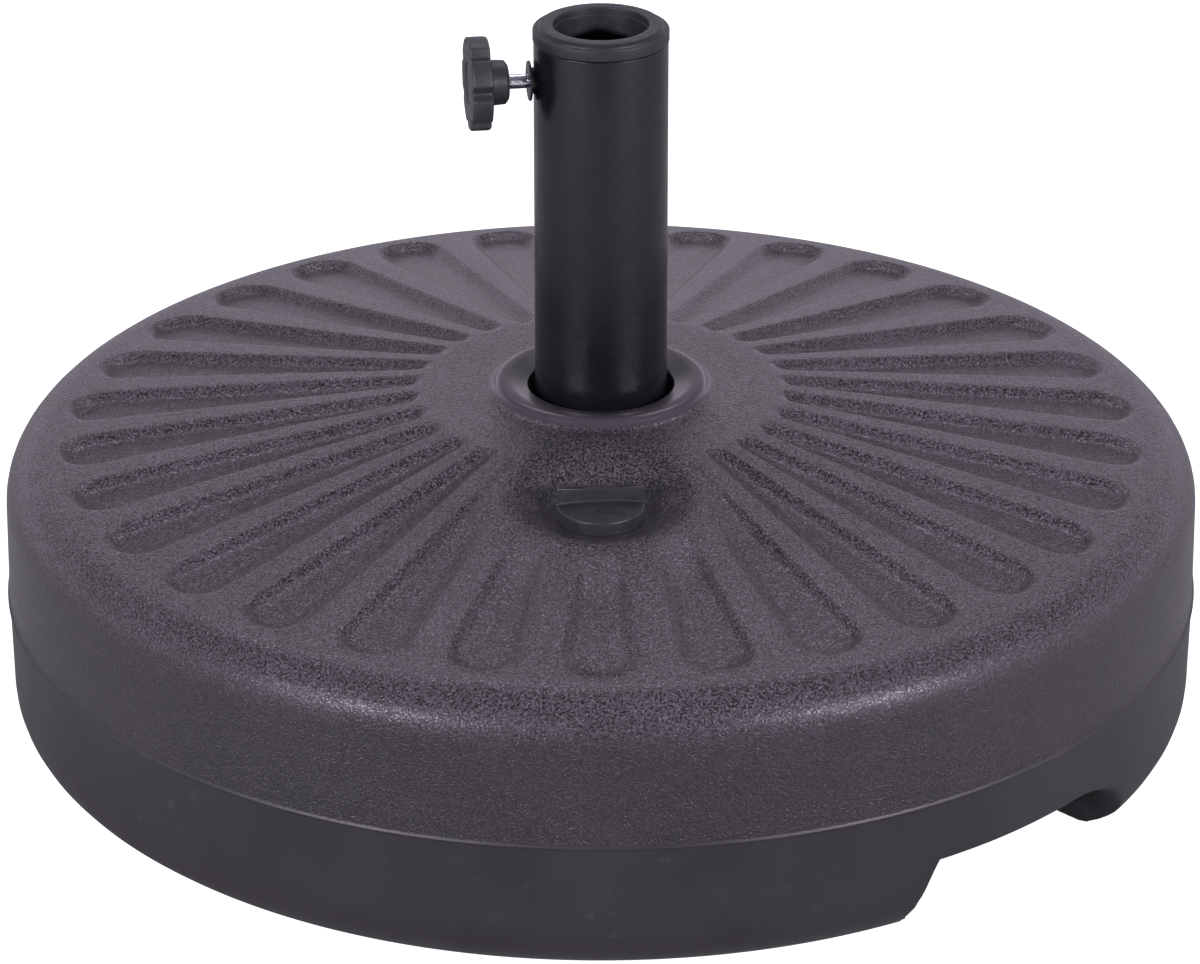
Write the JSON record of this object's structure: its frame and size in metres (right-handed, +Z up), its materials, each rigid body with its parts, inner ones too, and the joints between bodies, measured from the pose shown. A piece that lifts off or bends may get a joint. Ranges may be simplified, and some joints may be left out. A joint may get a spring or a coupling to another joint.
{
  "type": "umbrella base",
  "caption": "Fillable round plastic base for a patio umbrella, with a steel post, a reducing sleeve, a clamp knob and a screw filler cap.",
  "frame": {"origin": "on the ground at the centre of the round tank", "axes": "+Z up along the post; the filler cap is on the -Y side and the clamp knob points to about -X"},
  "size_m": [0.5, 0.5, 0.3],
  "materials": {
    "tank_plastic": "grained on top, satin below the parting line",
    "cap_plastic": "satin",
    "gasket_rubber": "matt",
    "post_steel": "satin black powder coat",
    "sleeve_plastic": "satin",
    "nut_steel": "black",
    "zinc_steel": "bright zinc plate",
    "knob_plastic": "satin"
  },
  "bodies": {
    "tank": {"base_tank": "tank_plastic"},
    "cap_seal": {"filler_cap_gasket": "gasket_rubber"},
    "cap": {"filler_cap": "cap_plastic"},
    "post": {"post_tube": "post_steel", "post_foot_plug": "sleeve_plastic", "clamp_nut": "nut_steel"},
    "sleeve": {"reducer_sleeve": "sleeve_plastic"},
    "screw": {"clamp_bolt": "zinc_steel"},
    "knob": {"clamp_knob": "knob_plastic"}
  },
  "joints": [
    {"name": "post_lift", "type": "slide", "parent": "tank", "child": "post", "axis": [0, 0, 1], "range_m": [0, 0.14]},
    {"name": "sleeve_lift", "type": "slide", "parent": "post", "child": "sleeve", "axis": [0, 0, 1], "range_m": [0, 0.05]},
    {"name": "screw_travel", "type": "slide", "parent": "post", "child": "screw", "axis": [-0.989, -0.1478, 0], "range_m": [-0.00701, 0.01001]},
    {"name": "knob_turn", "type": "hinge", "parent": "screw", "child": "knob", "pos_m": [0, 0, 0.277], "axis": [-0.989, -0.1478, 0], "range_deg": [-2520, 3600]},
    {"name": "cap_rise", "type": "slide", "parent": "tank", "child": "cap_seal", "axis": [0, 0, 1], "range_m": [0, 0.01601]},
    {"name": "cap_turn", "type": "hinge", "parent": "cap_seal", "child": "cap", "pos_m": [0, -0.102, 0.127], "axis": [0, 0, 1], "range_deg": [0, 1440]}
  ],
  "couplings": [
    {"joint": "screw_travel", "follows": "knob_turn", "m_per_rad": 0.00015915},
    {"joint": "cap_rise", "follows": "cap_turn", "m_per_rad": 0.00063662}
  ]
}
